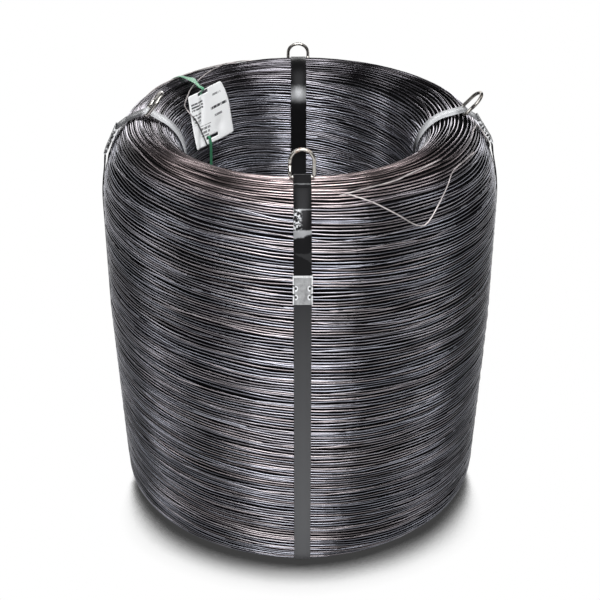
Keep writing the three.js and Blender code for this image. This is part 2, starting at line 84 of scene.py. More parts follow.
# The tag: which way it faces, how far its top leans out, its slots' middles (across, up), the
# rounding of its corners, the most that its sheet's points lie apart, and its blocks of small
# print: left, right, low, high, the rows' pitch and the weight of the ink.
TAG_AZIMUTH = 144
TAG_LEAN = 9.5
TAG_SLOTS = ((-15 * MM, 109 * MM), (-8 * MM, 13.5 * MM))
TAG_CORNER, TAG_CELL = 4 * MM, 3.2 * MM
TAG_PRINT = (
    (-0.056, -0.022, 0.078, 0.096, 0.0060, 0.95),
    (-0.056, -0.030, 0.050, 0.072, 0.0074, 0.80),
    (0.014, 0.044, 0.092, 0.100, 0.0070, 0.70),
    (0.000, 0.046, 0.0644, 0.0736, 0.0092, 1.00),
    (0.006, 0.040, 0.050, 0.058, 0.0080, 0.80),
    (-0.038, -0.012, 0.020, 0.044, 0.0080, 0.80),
)

# How much grey painted reflection each strap has below its seal, how soft the edges of its pale
# marks are, and its pale marks: inside or outside the crest line, from which height to which, the
# slant of the lower edge across the strap, and how pale. On the front they are pale lines, a
# painted glint and a painted reflection; on the back a painted glint; on the sides pale patches.
STRAP_GREY_REFLECTION = {"front": 1.0, "right": 0.6, "back": 0.4, "left": 0.6}
PALE_MARK_SOFTNESS = {"front": 1.0, "right": 5.0, "back": 2.4, "left": 1.0}
STRAP_PALE_MARKS = {
    "front": (
        ("outside", 0.8190, 0.8205, 0.0, 0.16),
        ("outside", 0.7865, 0.7895, -0.06, 0.18),
        # Painted glint: a pale wedge across the strap.
        ("outside", 0.7440, 0.7575, -0.25, 0.42),
        # Painted reflection: a faint pale band.
        ("outside", 0.7080, 0.7180, 0.5, 0.03),
    ),
    "right": (("inside", 0.7450, 0.9000, 0.0, 0.74), ("outside", 0.7800, 0.8800, 0.0, 0.40)),
    # Painted glint inside the bore.
    "back": (("inside", 0.7470, 0.7880, 0.0, 0.40),),
    "left": (("inside", 0.7000, 0.8500, 0.0, 0.78), ("outside", 0.7900, 0.8500, 0.0, 0.17)),
}

# The pieces of the winding in their order: up from the waist, over the crest, down the bore and
# out along the foot. Then the seeds of the main and the stray turns' noise.
MAIN_TURNS = ("upper_turns", "throat_turns", "foot_turns", "lower_turns")
MAIN_SEED, STRAY_SEED = 7.0, 31.0

# How finely shapes are made: steps in each rounded part of the winding's section, in those under
# a strap and round a ring's bar, segments round the core, and sides of a loose wire and a rod.
SECTION_STEPS, STRAP_STEPS, BAR_STEPS = 40, 48, 24
CORE_SEGMENTS, LOOSE_SIDES, ROD_SIDES = 96, 8, 16

# The loose wire that stands proud of the shoulders: how far, and (azimuth, share of the
# shoulder's drop, extra height) along each. The ends go under the winding.
SPRUNG_TURNS = (
    ("proud_turn", 0.6 * MM, (
        (-79, 0.085, -5 * MM), (-73.2, 0.071, 0), (-60.9, 0.054, 0), (-55.6, 0.042, 0),
        (-45.5, 0.032, 0), (-38, 0.028, -5 * MM),
    )),
    ("bight_turn", 0.6 * MM, (
        (-14, 0.060, -5 * MM), (-7.6, 0.074, 0), (-3.2, 0.102, 0), (-3.6, 0.203, 0),
        (0.3, 0.377, -1 * MM), (4, 0.50, -6 * MM),
    )),
    ("crossing_turn", 0.4 * MM, (
        (112, 0.004, -5 * MM), (118, 0.008, 0), (128, 0.022, 0), (139, 0.055, 0),
        (149, 0.110, 0), (157, 0.19, -5 * MM),
    )),
    ("second_crossing_turn", 0.4 * MM, (
        (104, 0.010, -5 * MM), (112, 0.012, 0), (124, 0.018, 0), (137, 0.030, 0),
        (150, 0.060, 0), (160, 0.10, -5 * MM),
    )),
)

# The lamps: power in watts, place, width and depth.
LAMPS = {
    "overhead": (90, (0.08, -1.2, 3.1), 2.7, 2.8),
    "front": (94, (0.05, -3.9, 3.0), 3.3, 1.5),
    "left_side": (14, (-2.6, 0.2, 3.1), 1.0, 1.8),
    "right_side": (14, (2.6, 0.2, 3.1), 1.0, 1.8),
    "back": (105, (0, 5.0, 2.2), 5.5, 1.8),
}
LAMP_TARGET = Vector((0, 0, 0.45))

# The camera: its focal length over the picture's width, its distance from the axis and its
# height in metres, how far it looks down and its azimuth in degrees.
CAMERA_FOCUS = 1397 / 600
CAMERA_DISTANCE, CAMERA_HEIGHT = 2.552, 1.867
CAMERA_PITCH, CAMERA_AZIMUTH = 29.91, -90.7


# ---------------- sizes and colours


def length(name, default, description):
    """A length that the user can change, in metres."""
    return FloatProperty(
        name=name, description=description, default=default, unit="LENGTH", precision=5
    )


def number(name, default, description):
    """A whole number that the user can change."""
    return IntProperty(name=name, description=description, default=default)


def colour(name, default, description):
    """A colour that the user can change."""
    return FloatVectorProperty(
        name=name, description=description, default=default, subtype="COLOR", min=0, max=1
    )


class WireCoilSizes(bpy.types.PropertyGroup):
    """Sizes of the winding's section, its wire and what ties it."""

    outer_radius: length("Outer radius", COIL_HIGH.x, "Radius at the widest turns")
    foot_radius: length("Foot radius", 0.381, "Radius where the outside meets the foot")
    bore_radius: length("Bore radius", 0.228, "Radius of the open bore")
    crest_radius: length("Crest radius", 0.308, "Radius of the highest turns")
    crest_height: length("Crest height", COIL_HIGH.z, "Height of the highest turns")
    base_height: length("Base height", COIL_LOW.z, "Height of the lowest turns")
    waist_height: length("Waist height", 0.400, "Height below which the outside narrows")
    outer_drop: length("Outer shoulder", 0.181, "Height of the rounded outer shoulder")
    inner_drop: length("Inner shoulder", 0.090, "Height of the rounded inner shoulder")
    outer_foot: length("Outer foot", 0.034, "Rounding of the outer foot")
    inner_foot: length("Inner foot", 0.030, "Rounding of the inner foot")
    wire: length("Wire", 0.0033, "Diameter of the wire in the winding")
    loose: length("Loose wire", 0.0027, "Diameter of the wire that has sprung out")
    layer: length("Layer", 0.0012, "How far the main turns lie below the stray ones")
    wander: length("Wander", 0.0055, "How far neighbouring turns stray together")
    drift: length("Drift", 0.0022, "How far a turn strays from its neighbours")
    waver: length("Waver", 0.0007, "Size of the small bends along a turn")
    tilt: length("Tilt", -0.028, "How far a turn lies out of level, from right to left")
    sink: length("Sink", 0.0010, "How far a main turn may sink further")
    stray_wander: length("Stray wander", 0.014, "How far a stray turn swings to and fro")
    spread: FloatProperty(
        name="Spread", default=0.15, description="How much wider the turns lie outside than inside"
    )
    turns: number("Turns", 340, "Main turns, right round the section")
    stray_turns: number("Stray turns", 70, "Turns that cross the others")
    turn_points: number("Turn points", 150, "Corners in one turn")
    strap_width: length("Strap width", 0.032, "Width of a steel strap")
    strap_thickness: length("Strap thickness", 0.0009, "Thickness of a steel strap")
    seal_length: length("Seal length", 0.058, "Length of a crimped seal")
    seal_wall: length("Seal wall", 0.0013, "Thickness of a seal's sheet")
    ring_rod: length("Ring rod", 0.007, "Diameter of a lifting ring's rod")
    ring_height: length("Ring height", 0.057, "Height of a lifting ring")
    tag_width: length("Tag width", 0.123, "Width of the tag")
    tag_height: length("Tag height", 0.114, "Height of the tag")
    tag_thickness: length("Tag thickness", 0.0006, "Thickness of the tag's sheet")
    tag_radius: length("Tag radius", 0.21367, "Distance of the tag's lower edge from the axis")
    tag_drop: length("Tag drop", 0.112, "How far the tag's lower edge is below the crest")
    slot_length: length("Slot length", 0.036, "Length of a slot in the tag")
    slot_width: length("Slot width", 0.006, "Width of a slot in the tag")
    seat: length("Seat gap", 0.0003, "Gap between pieces that touch")


class WireCoilColours(bpy.types.PropertyGroup):
    """Colours of the finishes."""

    wire_blue: colour("Wire, cool", (0.416, 0.424, 0.486), "Cool grey of the drawn wire")
    wire_brown: colour("Wire, warm", (0.530, 0.470, 0.480), "Warm tint of the drawn wire")
    wire_rust: colour("Wire, rust", (0.545, 0.437, 0.432), "Light rust on the crest")
    wire_loose: colour("Wire, loose", (0.600, 0.550, 0.550), "Pale wire that has sprung out")
    strap_black: colour("Strap", (0.012, 0.012, 0.013), "Black varnish of the straps")
    # Grey of the straps' painted reflection below their seals.
    strap_grey_reflection: colour("Strap, worn", (0.135, 0.137, 0.144), "Satin grey of a worn strap")
    strap_pale: colour("Strap, bare", (0.74, 0.755, 0.78), "Pale grey where a strap is scuffed")
    # Pale grey of the painted glints and reflections, the pale lines and patches, and the chips.
    zinc: colour("Zinc", (0.93, 0.94, 0.96), "Zinc coating of the seals")
    rod_steel: colour("Rod", (0.50, 0.48, 0.45), "Bare steel of the rings")
    rust: colour("Rust", (0.20, 0.085, 0.035), "Rust on the rings")
    paper: colour("Tag", (0.97, 0.98, 0.985), "White face of the tag")
    tape_green: colour("Tag strap", (0.030, 0.20, 0.09), "Green plastic of the tag strap")


def given(context):
    """The sizes and the colours that the user has set."""
    return context.scene.wire_coil_sizes, context.scene.wire_coil_colours


# ---------------- node trees


class Socket:
    """One output of a node. Arithmetic on it adds Math nodes to its tree."""

    def __init__(self, tree, socket):
        self.tree = tree
        self.socket = socket

    def pick(self, output):
        """Another output of the same node."""
        return Socket(self.tree, self.socket.node.outputs[output])

    def math(self, operation, *others):
        return self.tree.math(operation, self, *others)

    def __add__(self, other):
        return self.math("ADD", other)

    def __sub__(self, other):
        return self.math("SUBTRACT", other)

    def __rsub__(self, other):
        return self.tree.math("SUBTRACT", other, self)

    def __mul__(self, other):
        return self.math("MULTIPLY", other)

    def __truediv__(self, other):
        return self.math("DIVIDE", other)

    def __rtruediv__(self, other):
        return self.tree.math("DIVIDE", other, self)

    __radd__ = __add__
    __rmul__ = __mul__

    def between(self, low, high):
        """0 below low, 1 above high, smooth in between. High may be the smaller."""
        return self.tree.node(
            "ShaderNodeMapRange",
            {"interpolation_type": "SMOOTHSTEP"},
            {"Value": self, "From Min": low, "From Max": high},
        )


class Tree:
    """Adds nodes to a shader or geometry tree and links them."""

    def __init__(self, tree):
        self.tree = tree

    def node(self, kind, settings=None, inputs=None, output=0):
        """Adds a node: its kind, its settings, and the values or links of its inputs."""
        node = self.tree.nodes.new(kind)
        for name, value in (settings or {}).items():
            setattr(node, name, value)
        for name, value in (inputs or {}).items():
            if isinstance(value, Socket):
                self.tree.links.new(value.socket, node.inputs[name])
            else:
                node.inputs[name].default_value = value
        return Socket(self, node.outputs[output] if node.outputs else None)

    def place(self):
        """Where a point is on the object: the vector, and its x, y and z."""
        vector = self.node("ShaderNodeTexCoord", output="Object")
        return (vector, *self.axes(vector))

    def axes(self, vector):
        """The x, y and z of a vector."""
        x = self.node("ShaderNodeSeparateXYZ", inputs={"Vector": vector})
        return x, x.pick("Y"), x.pick("Z")

    def measure(self, place, start, direction):
        """How far a place lies from a start, in a direction."""
        settings, inputs = {"operation": "DOT_PRODUCT"}, {0: place, 1: direction}
        along = self.node("ShaderNodeVectorMath", settings, inputs, "Value")
        return along - start.dot(direction)

    def math(self, operation, *values):
        return self.node("ShaderNodeMath", {"operation": operation}, dict(enumerate(values)))

    def vector(self, x, y, z):
        return self.node("ShaderNodeCombineXYZ", inputs={"X": x, "Y": y, "Z": z})

    def mix(self, factor, a, b, blend="MIX"):
        """Colour a where the factor is 0 and colour b where it is 1."""
        settings = {"data_type": "RGBA", "blend_type": blend}
        return self.node("ShaderNodeMix", settings, {0: factor, 6: a, 7: b}, output=2)

    def noise(self, vector, scale, detail=2.0, roughness=0.5):
        inputs = {"Vector": vector, "Scale": scale, "Detail": detail, "Roughness": roughness}
        return self.node("ShaderNodeTexNoise", inputs=inputs)

    def shaded(self, base, tone):
        """A colour made darker by a tone below 1."""
        return self.mix(1.0, base, self.vector(tone, tone, tone), blend="MULTIPLY")

    def bump(self, height, strength, distance):
        inputs = {"Height": height, "Strength": strength, "Distance": distance}
        return self.node("ShaderNodeBump", inputs=inputs)


def opaque(value, factor=1.0):
    """A colour property, dimmed by a factor, as four numbers."""
    return (*(factor * c for c in value), 1.0)


def new_material(name):
    """An empty material and its tree."""
    material = bpy.data.materials.new(name)
    material.use_nodes = True
    material.node_tree.nodes.clear()
    return material, Tree(material.node_tree)


def finish(material, tree, **inputs):
    """Ends a material in a Principled BSDF. Input names are written with underscores."""
    named = {name.replace("_", " ").title().replace("Ior", "IOR"): v for name, v in inputs.items()}
    shader = tree.node("ShaderNodeBsdfPrincipled", inputs=named)
    tree.node("ShaderNodeOutputMaterial", inputs={"Surface": shader})
    return material


# ---------------- finishes


def wire_finish(colours):
    """Dark drawn steel: cool and warm turns, lightly rusted on the crest at the front.
    Painted light and painted shade make it lighter and darker in places, as listed below.
    """
    material, tree = new_material("drawn_wire")
    _, x, y, z = tree.place()
    turn = tree.node("ShaderNodeAttribute", {"attribute_name": "turn"}, output="Fac")
    sunk = tree.node("ShaderNodeAttribute", {"attribute_name": "sunk"}, output="Fac")

    def along_turns(waves, mix, seed, detail=1.0):
        """Noise along the turns, which differs more from turn to turn as mix rises."""
        return tree.noise(tree.vector(x * waves, y * waves, turn * mix + seed), 1.0, detail)

    tint = along_turns(2.0, 1.7, 0.0)
    streak = along_turns(9.0, 2.3, 50.0, 2.0)
    bundle = along_turns(3.0, 0.4, 90.0)
    line = along_turns(4.0, 3.7, 200.0)
    # The crest, more at the front: light rust, and painted light that makes the wire lighter
    # there.
    crest = z.between(0.770, 0.815) * (y.between(-0.05, -0.25) * 0.7 + 0.25)
    # The bore's wall: painted light makes it lighter, and it is less metallic.
    inside = (x * x + y * y).math("SQRT").between(0.265, 0.240)
    # Painted shade deep down the bore on the right.
    deep_bore_shade = inside * z.between(0.80, 0.66) * x.between(-0.05, 0.20)
    # Painted shade on the far part of the crest.
    far_crest_shade = z.between(0.79, 0.85) * y.between(0.10, 0.26)
    # Painted shade on the left of the crest.
    left_crest_shade = z.between(0.73, 0.79) * x.between(-0.16, -0.28)
    # Painted shade: dark lines between the crest's turns.
    crest_gap_shade = z.between(0.765, 0.805) * line.between(0.52, 0.40)
    # Painted shade on the flanks, more on the right, and lower down at both sides.
    flank_shade = x.between(0.22, 0.36) * 0.35 + x.between(-0.26, -0.38) * 0.2
    flank_shade = flank_shade + x.math("ABSOLUTE").between(0.27, 0.34) * z.between(0.66, 0.52) * 0.26
    flank_shade = flank_shade * z.between(0.80, 0.70)

    warm = tint.between(0.40, 0.64) * (y.between(-0.20, -0.40) * 0.6 + 0.3)
    base = tree.mix(warm, opaque(colours.wire_blue), opaque(colours.wire_brown))
    base = tree.mix(crest * 0.9, base, opaque(colours.wire_rust))
    shade = streak.between(0.32, 0.64) * 0.55 + 0.45
    # Painted shade: turns that lie deeper are painted darker, the under turns black.
    shade = shade * (bundle.between(0.34, 0.62) * 0.4 + 0.75) * sunk.between(1.0, 0.0)
    # Painted light and painted shade: how much lighter the wire is at each place, or darker where
    # the number is below 0. The crest and the bore get painted light, the rest painted shade, the
    # last darker towards the bottom.
    for where, change in (
        (inside, 0.15), (deep_bore_shade, -0.35), (far_crest_shade, -0.4), (crest, 0.62),
        (left_crest_shade, -0.25), (crest_gap_shade, -0.75), (flank_shade, -1.0), (z.between(0.40, 0.02), -0.12),
    ):
        shade = shade * (where * change + 1.0)
    return finish(
        material, tree, base_color=tree.shaded(base, shade), roughness=tint * 0.12 + 0.05,
        metallic=(1.0 - crest * 0.16 - inside * 0.18) * sunk.between(0.99, 0.80),
        specular_ior_level=0.0,
    )


def loose_wire_finish(colours, name, dark_below):
    """Pale steel wire, paler and darker in patches, and nearly black below a height."""
    material, tree = new_material(name)
    place, _, _, z = tree.place()
    patch = tree.noise(place, 30.0, 3.0, 0.6)
    pale = colours.wire_loose
    base = tree.mix(patch.between(0.58, 0.40), opaque(pale), opaque(pale, 0.6))
    base = tree.mix(z.between(dark_below, dark_below - 0.01), base, opaque(pale, 0.05))
    return finish(material, tree, base_color=base, metallic=0.55, roughness=patch * 0.3 + 0.25)


def core_finish():
    """The turns below the surface, painted near black as the shade they lie in."""
    material, tree = new_material("buried_turns")
    tone = tree.noise(tree.place()[0], 60.0, 2.0) * 0.004 + 0.002
    base = tree.vector(tone, tone, tone * 1.1)
    return finish(material, tree, base_color=base, roughness=0.9, specular_ior_level=0.0)


def strap_finish(colours, side, seal_height):
    """Black varnished strapping, painted a satin grey below its seal as a reflection, with pale
    marks and chips.
    """
    material, tree = new_material(f"{side}_strapping")
    place, x, y, height = tree.place()
    reach = (x * x + y * y).math("SQRT")
    across = x if side in ("front", "back") else y
    cloud = tree.noise(place, 14.0, 4.0, 0.6)
    grain = tree.noise(place, 400.0, 2.0)
    uneven = (tree.noise(place, 90.0, 5.0, 0.75) - 0.5) * 0.012
    # Painted reflection: grey below the seal, more towards the bottom, by the side's share.
    below = (height * (-1 / seal_height) + 1.0).math("MAXIMUM", 0.0).math("POWER", 0.64)
    reflecting = height.between(seal_height, seal_height - 0.03) * (below * 0.88 + 0.10)
    reflecting = reflecting * STRAP_GREY_REFLECTION[side] * (cloud * 0.16 + 0.92)
    base = tree.mix(reflecting, opaque(colours.strap_black), opaque(colours.strap_grey_reflection))
    # Pale marks: painted glints and reflections, pale lines and patches, then chips.
    pale = 0.0
    for where, low, high, slant, amount in STRAP_PALE_MARKS[side]:
        line = height + uneven * (0.3 if high - low < 0.01 else 1.0)
        soft = min(0.2 * (high - low), 0.008) * PALE_MARK_SOFTNESS[side]
        band = (line + across * slant).between(low, low + soft) * line.between(high, high - soft)
        edge = (0.300, 0.312) if where == "outside" else (0.312, 0.300)
        pale = band * reach.between(*edge) * (cloud * 0.5 + 0.75) * amount + pale
    if side == "front":
        chips = tree.noise(place, 240.0, 3.0, 0.7).between(0.50, 0.55)
        chips = chips * across.between(0.001, -0.009)
        chips = chips * height.between(0.752, 0.760) * height.between(0.792, 0.785)
        pale = chips * 0.9 + pale
    pale = pale.math("MINIMUM", 1.0)
    return finish(
        material, tree, base_color=tree.mix(pale, base, opaque(colours.strap_pale)),
        metallic=0.5 - pale * 0.45, roughness=reflecting * 0.22 + cloud * 0.14 + 0.28,
        normal=tree.bump(grain, 0.08, 0.2 * MM), specular_ior_level=0.1,
    )


def seal_finish(colours, side, middle, across, along, half_width, half_length):
    """Zinc-coated seal: a rim painted light as a highlight, four punched notches painted dark as
    shade with raised lips painted light as highlights, a groove painted darker as shade, a cloudy
    middle.
    The ones at the sides are crumpled, painted dark as shade with white flecks as painted glints."""
    material, tree = new_material(f"{side}_seal_sheet")
    place = tree.place()[0]
    crumpled = side in ("left", "right")
    # The side seals are painted dark as shade.
    bright = 0.12 if crumpled else 1.0
    u, v = tree.measure(place, middle, across), tree.measure(place, middle, along)
    side_u, side_v = u.math("ABSOLUTE"), v.math("ABSOLUTE")
    cloud = tree.noise(place, 90.0, 4.0, 0.6)
    scratch = tree.noise(tree.vector(u * 900.0, v * 60.0, cloud * 3.0), 1.0, 2.0)
    # Painted highlight along the rim.
    rim = side_u.between(half_width - 2.4 * MM, half_width - 1.2 * MM)
    rim = rim.math("MAXIMUM", side_v.between(half_length - 2.2 * MM, half_length - 1.0 * MM))
    notch_u, notch_v, notch_middle = SEAL_NOTCHES
    off_u = (side_u - notch_u) * 1.12
    off_v = ((v - notch_middle).math("ABSOLUTE") - notch_v) * 0.78
    near = (off_u * off_u + off_v * off_v).math("SQRT")
    # Painted shade in the notches and painted highlights on their lips.
    hole = near.between(2.5 * MM, 1.7 * MM)
    lip = near.between(2.0 * MM, 2.6 * MM) * near.between(4.9 * MM, 4.1 * MM)
    lip = lip * (off_u * -1.0).between(-2.2 * MM, 0.2 * MM)
    tone = (cloud.between(0.3, 0.7) * 0.26 + scratch * 0.2 + 0.20) * bright
    # White flecks on the side seals as painted glints.
    if crumpled:
        tone = tone * 0.4 + tree.noise(place, 260.0, 2.0).between(0.50, 0.56) * 0.75
    # Painted shade in a groove inside the rim.
    groove = side_u.between(half_width - 4.2 * MM, half_width - 3.0 * MM) * (1.0 - rim) * 0.12
    tone = tone + rim * 0.6 * bright * scratch.between(0.2, 0.5) + lip * 0.8 - groove
    tone = tone.math("MINIMUM", 0.96) * (1.0 - hole * 0.9)
    return finish(
        material, tree, base_color=tree.shaded(opaque(colours.zinc), tone),
        metallic=0.1 if crumpled else 0.7, roughness=cloud * 0.2 + (0.5 if crumpled else 0.3),
        normal=tree.bump(lip * 0.6 - hole, 0.6, 0.8 * MM), specular_ior_level=0.2,
    )


def rod_finish(colours):
    """Bare steel rod, dark in patches and painted darker on the right-hand ring as shade, rusting
    in patches on its bow.
    """
    material, tree = new_material("rod_steel")
    place, x, _, z = tree.place()
    grime = tree.noise(place, 110.0, 3.0, 0.6)
    # Dark patches, and painted shade on the right-hand ring.
    skin_and_shade = grime.between(0.46, 0.32).math("MAXIMUM", x.between(0.20, 0.30) * 0.75)
    rust = tree.noise(place, 60.0, 3.0, 0.6).between(0.52, 0.66) * z.between(0.84, 0.87)
    base = tree.mix(skin_and_shade, opaque(colours.rod_steel), opaque(colours.rod_steel, 0.3))
    return finish(
        material, tree, base_color=tree.mix(rust * 0.75, base, opaque(colours.rust)),
        metallic=0.95 - rust * 0.6, roughness=rust * 0.35 + grime * 0.2 + 0.12,
    )


def paper_finish(colours, foot, across, up):
    """Coated white tag with rows of small illegible print."""
    material, tree = new_material("tag_face")
    place = tree.place()[0]
    u, v = tree.measure(place, foot, across), tree.measure(place, foot, up)
    ink = 0.0
    for left, right, low, high, pitch, weight in TAG_PRINT:
        row, part = (v / pitch).math("FLOOR"), (v / pitch).math("FRACT")
        words = tree.noise(tree.vector(u * 260.0, row * 7.3, left * 900.0), 1.0, 3.0, 0.7)
        uneven = tree.noise(tree.vector(row * 3.1, 0.5, left * 50.0), 1.0, 0.0) - 0.5
        block = u.between(left - 0.4 * MM, left + 0.4 * MM)
        block = block * (u + uneven * 0.024).between(right, right - 0.8 * MM)
        block = block * v.between(low - 0.4 * MM, low + 0.4 * MM)
        block = block * v.between(high, high - 0.8 * MM)
        block = block * part.between(0.20, 0.30) * part.between(0.90, 0.80)
        ink = block * words.between(0.42, 0.45) * weight + ink
    cloud = tree.noise(place, 25.0, 2.0)
    base = tree.mix(cloud * 0.25, opaque(colours.paper), (0.86, 0.88, 0.91, 1.0))
    base = tree.mix(ink, base, (0.03, 0.03, 0.035, 1.0))
    return finish(material, tree, base_color=base, roughness=0.42)


def tape_finish(colours):
    """Green plastic tape, ribbed along its length, painted pale above the tag as light on its top,
    in stripes along the ribs.
    """
    material, tree = new_material("green_plastic")
    place, x, y, z = tree.place()
    cloud = tree.noise(place, 40.0, 2.0)
    rib = ((x * 0.588 + y * 0.809) * 1250.0).math("SINE") * 0.5 + 0.5
    # Painted light: pale on the top of the tape, in stripes along its ribs.
    painted_light = (z.between(0.80, 0.86) * 0.75 + 0.2) * (rib * 0.85 + 0.15)
    base = tree.mix(cloud, opaque(colours.tape_green, 0.6), opaque(colours.tape_green))
    base = tree.mix(painted_light, base, (0.22, 0.62, 0.38, 1.0))
    normal = tree.bump(rib, 0.3, 0.4 * MM)
    return finish(material, tree, base_color=base, roughness=0.38, normal=normal)


# ---------------- section of the winding


def arc(centre, radii, start, steps, sweep=90):
    """Points on an ellipse, from one angle through another, in degrees."""
    points = []
    for i in range(steps + 1):
        angle = math.radians(start + sweep * i / steps)
        across, rise = radii[0] * math.cos(angle), radii[1] * math.sin(angle)
        points.append(Vector((centre[0] + across, centre[1] + rise)))
    return points


def shoulder(s, outside):
    """The width and the height of the outer or the inner shoulder."""
    if outside:
        return s.outer_radius - s.crest_radius, s.outer_drop
    return s.crest_radius - s.bore_radius, s.inner_drop


def section_edge(s, steps):
    """The winding's outer edge in (radius, height): up the outside, in over the crest, down
    the bore and out along the foot."""
    outer, inner = shoulder(s, True), shoulder(s, False)
    foot = s.base_height
    return [
        Vector((s.outer_radius, s.waist_height)),
        *arc((s.crest_radius, s.crest_height - outer[1]), outer, 0, steps),
        *arc((s.crest_radius, s.crest_height - inner[1]), inner, 90, steps)[1:],
        *arc((s.bore_radius + s.inner_foot, foot + s.inner_foot), [s.inner_foot] * 2, 180, steps),
        *arc((s.foot_radius - s.outer_foot, foot + s.outer_foot), [s.outer_foot] * 2, 270, steps),
    ]


def ring_radius(s, share):
    """Where a ring's bar sits, by its share of the way out to the wall or in to the bore."""
    return s.crest_radius + share * shoulder(s, share > 0)[0]


def crest_point(s, radius):
    """A point of the crest at a radius, and the direction out of the winding there."""
    half, drop = shoulder(s, radius > s.crest_radius)
    across = (radius - s.crest_radius) / half
    rise = math.sqrt(1 - across * across)
    point = Vector((radius, s.crest_height - drop + drop * rise))
    return point, Vector((across / half, rise / drop)).normalized()


def outer_point(s, height):
    """A point of the outer wall or shoulder at a height, and the direction out there."""
    half, drop = shoulder(s, True)
    rise = max(0.0, (height - s.crest_height + drop) / drop)
    across = math.sqrt(1 - rise * rise)
    point = Vector((s.crest_radius + half * across, height))
    return point, Vector((across / half, rise / drop)).normalized()


# ---------------- lines in the section


def mitres(points, closed):
    """At each point, the direction to the right of travel, longer where the line bends."""
    count = len(points)
    sides = []
    for i, point in enumerate(points):
        into = (point - points[i - 1]).normalized() if i > 0 or closed else None
        out = (points[(i + 1) % count] - point).normalized() if i < count - 1 or closed else None
        direction = ((into or out) + (out or into)).normalized()
        stretch = 1 / max(0.3, direction.dot(out or into))
        sides.append(Vector((direction.y, -direction.x)) * stretch)
    return sides


def offset_line(points, distance, closed=False):
    """The line moved to its right by a distance, or by a function of its direction there."""
    sides = mitres(points, closed)
    at = distance if callable(distance) else lambda side: distance
    return [point + side * at(side) for point, side in zip(points, sides)]


def taut_loop(points):
    """The smallest convex loop round the points, anticlockwise, as a taut band lies."""
    ordered = sorted(points, key=lambda p: (p.x, p.y))

    def half(line):
        hull = []
        for p in line:
            while len(hull) > 1 and (hull[-1] - hull[-2]).cross(p - hull[-2]) <= 1e-12:
                hull.pop()
            hull.append(p)
        return hull[:-1]

    return half(ordered) + half(ordered[::-1])


def loop_length(loop):
    return sum((b - a).length for a, b in zip(loop, loop[1:] + loop[:1]))


def walk(loop, start, end):
    """The stretch of a closed loop between two distances from its first point."""
    points = []
    travelled = -loop_length(loop)
    i = 0
    while travelled < end:
        a, b = loop[i % len(loop)], loop[(i + 1) % len(loop)]
        step = (b - a).length
        enter, leave = max(start, travelled), min(end, travelled + step)
        if enter < leave - 1e-9:
            if not points:
                points.append(a.lerp(b, (enter - travelled) / step))
            points.append(a.lerp(b, (leave - travelled) / step))
        travelled += step
        i += 1
    return points


# ---------------- meshes


def add_piece(name, mesh, material, replaces=()):
    """Links a finished mesh, attaches it to the body and hides the solids that it replaces."""
    piece = bpy.data.objects.new(name, mesh)
    bpy.context.scene.collection.objects.link(piece)
    mesh.materials.clear()
    mesh.materials.append(material)
    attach(piece, BODY)
    if replaces:
        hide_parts(*replaces)
    return piece


def refinish(name, material):
    """Gives a solid of the frame its finish."""
    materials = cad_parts[name].data.materials
    materials.clear()
    materials.append(material)


def mesh_from(name, vertices, faces):
    """A smooth mesh with its faces pointing out."""
    mesh = bpy.data.meshes.new(name)
    mesh.from_pydata([tuple(v) for v in vertices], [], faces)
    work = bmesh.new()
    work.from_mesh(mesh)
    bmesh.ops.remove_doubles(work, verts=work.verts, dist=1e-7)
    bmesh.ops.recalc_face_normals(work, faces=work.faces)
    work.to_mesh(mesh)
    work.free()
    for polygon in mesh.polygons:
        polygon.use_smooth = True
    return mesh


def ring_mesh(name, rings, closed=False):
    """A mesh through rings of corners that follow each other, capped unless it closes."""
    count, around = len(rings), len(rings[0])
    faces = []
    for i in range(count if closed else count - 1):
        j = (i + 1) % count
        for k in range(around):
            m = (k + 1) % around
            faces.append((i * around + k, i * around + m, j * around + m, j * around + k))
    if not closed:
        faces += [[i * around + k for k in range(around)] for i in (0, count - 1)]
    return mesh_from(name, [corner for ring in rings for corner in ring], faces)


def turned_mesh(name, profile, segments):
    """A closed profile in (radius, height) turned round the Z axis."""
    angles = [360 * i / segments for i in range(segments)]
    return ring_mesh(name, [[turned(p.x, angle, p.y) for p in profile] for angle in angles], True)


def swept_mesh(name, points, radius, sides):
    """A round wire or rod along points in space, capped at its ends."""
    angles = [TAU * k / sides for k in range(sides)]
    rings = []
    normal = None
    for i, point in enumerate(points):
        tangent = (points[min(i + 1, len(points) - 1)] - points[max(i - 1, 0)]).normalized()
        if normal is None:
            normal = tangent.orthogonal().normalized()
        normal = (normal - tangent * normal.dot(tangent)).normalized()
        other = tangent.cross(normal)
        around = [normal * math.cos(angle) + other * math.sin(angle) for angle in angles]
        rings.append([point + side * radius for side in around])
    return ring_mesh(name, rings)


def smooth_curve(points, spacing):
    """Points at an even spacing on a smooth curve through the given ones."""
    padded = [points[0] * 2 - points[1], *points, points[-1] * 2 - points[-2]]
    fine = []
    for a, b, c, d in zip(padded, padded[1:], padded[2:], padded[3:]):
        steps = max(2, round((c - b).length / spacing))
        for i in range(steps):
            t = i / steps
            fine.append(
                0.5 * ((2 * b) + (c - a) * t + (2 * a - 5 * b + 4 * c - d) * t * t
                       + (3 * b - a - 3 * c + d) * t * t * t)
            )
    fine.append(points[-1].copy())
    return fine


def turned(radius, azimuth, height):
    """A point at a radius, an azimuth in degrees and a height."""
    angle = math.radians(azimuth)
    return Vector((radius * math.cos(angle), radius * math.sin(angle), height))


# ---------------- turns of wire


